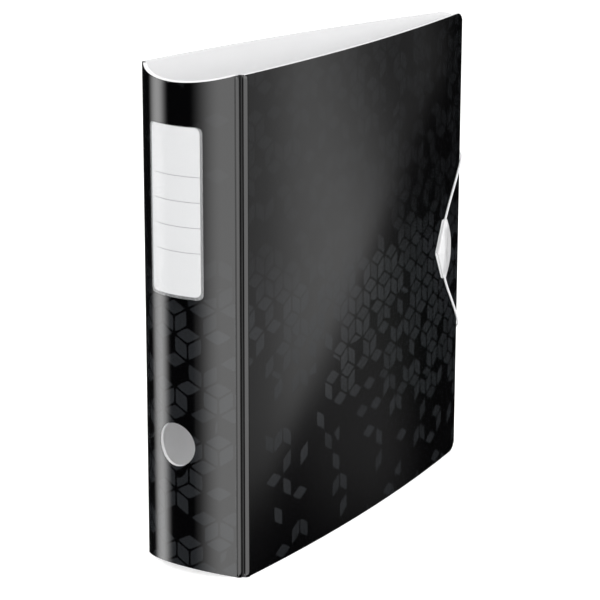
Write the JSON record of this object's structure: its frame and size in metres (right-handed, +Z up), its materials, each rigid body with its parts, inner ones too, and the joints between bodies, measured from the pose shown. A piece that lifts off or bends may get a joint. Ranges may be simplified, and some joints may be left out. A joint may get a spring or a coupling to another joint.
{
  "type": "ring binder",
  "caption": "A4 lever-arch ring binder with rounded spine, finger hole, label pocket, hinged covers and elastic closure cord with clip.",
  "frame": {"origin": "middle of the closed file's box, at the height of its lower edges", "axes": "+Z up along the height; -Y faces the spine side; +X faces the front cover side"},
  "size_m": [0.0805, 0.3109, 0.318],
  "materials": {
    "cover_foil": "glossy black film with a faint printed pattern",
    "hinge_foil": "glossy black film, creased",
    "core": "white foamed plastic, cut edge",
    "lining": "satin white film",
    "plated_steel": "nickel plated",
    "rivet_steel": "satin",
    "grip_plastic": "moulded black",
    "bar_plastic": "moulded black",
    "roller_plastic": "natural acetal",
    "label_card": "white card with thin ruled lines",
    "clear_film": "clear film",
    "elastic": "braided white elastic",
    "clip_plastic": "moulded white"
  },
  "bodies": {
    "back_cover": {"back_cover_board": "core", "back_cover_foil": "cover_foil", "back_cover_lining": "lining", "mechanism_base_plate": "plated_steel", "upper_post": "plated_steel", "lower_post": "plated_steel", "mounting_rivets": "rivet_steel", "lever_pivot_pin": "rivet_steel"},
    "back_strip": {"back_hinge_strip": "hinge_foil"},
    "spine": {"spine_board": "core", "spine_foil": "cover_foil", "spine_lining": "lining", "label_insert": "label_card", "label_pocket": "clear_film"},
    "front_strip": {"front_hinge_strip": "hinge_foil"},
    "front_cover": {"front_cover_board": "core", "front_cover_foil": "cover_foil", "front_cover_lining": "lining", "catch_stud": "clip_plastic", "stud_washer": "clip_plastic", "cord_anchors": "clip_plastic", "cord_tails": "elastic"},
    "closure_loop": {"closure_cord": "elastic", "cord_wraps": "elastic", "closure_clip_shell": "clip_plastic", "closure_clip_base": "clip_plastic"},
    "bail": {"arch_bail": "plated_steel"},
    "lever": {"lever_arm": "plated_steel", "lever_grip": "grip_plastic", "roller_pin": "rivet_steel"},
    "roller": {"lever_roller": "roller_plastic"},
    "compressor": {"compressor_bar": "bar_plastic"}
  },
  "joints": [
    {"name": "back_hinge", "type": "hinge", "parent": "back_cover", "child": "back_strip", "pos_m": [-0.04, -0.1342, 0.159], "axis": [0, 0, -1], "range_deg": [0, 48]},
    {"name": "back_fold", "type": "hinge", "parent": "back_strip", "child": "spine", "pos_m": [-0.0369, -0.1373, 0.159], "axis": [0, 0, -1], "range_deg": [0, 48]},
    {"name": "front_hinge", "type": "hinge", "parent": "spine", "child": "front_strip", "pos_m": [0.0369, -0.1373, 0.159], "axis": [0, 0, -1], "range_deg": [0, 48]},
    {"name": "front_fold", "type": "hinge", "parent": "front_strip", "child": "front_cover", "pos_m": [0.04, -0.1342, 0.159], "axis": [0, 0, -1], "range_deg": [0, 48]},
    {"name": "closure_swing", "type": "hinge", "parent": "front_cover", "child": "closure_loop", "pos_m": [0.00348, 0.15296, 0.157], "axis": [0, 0, 1], "range_deg": [0, 180], "deforming": ["cord_wraps"]},
    {"name": "lever_lift", "type": "hinge", "parent": "back_cover", "child": "lever", "pos_m": [-0.02509, -0.09472, 0.159], "axis": [0, 0, 1], "range_deg": [0, 90]},
    {"name": "bail_swing", "type": "hinge", "parent": "back_cover", "child": "bail", "pos_m": [-0.03196, -0.11241, 0.159], "axis": [0, 0, -1], "range_deg": [0, 45]},
    {"name": "roller_spin", "type": "hinge", "parent": "lever", "child": "roller", "pos_m": [-0.02538, -0.10071, 0.159], "axis": [0, 0, 1], "range_deg": [0, 45]},
    {"name": "compressor_slide", "type": "slide", "parent": "back_cover", "child": "compressor", "axis": [0.9988, -0.0488, 0], "range_m": [0, 0.028]}
  ],
  "couplings": [
    {"joint": "back_fold", "follows": "back_hinge", "ratio": 1},
    {"joint": "front_fold", "follows": "front_hinge", "ratio": 1},
    {"joint": "bail_swing", "follows": "lever_lift", "ratio": 0.5},
    {"joint": "roller_spin", "follows": "lever_lift", "ratio": 0.5}
  ]
}
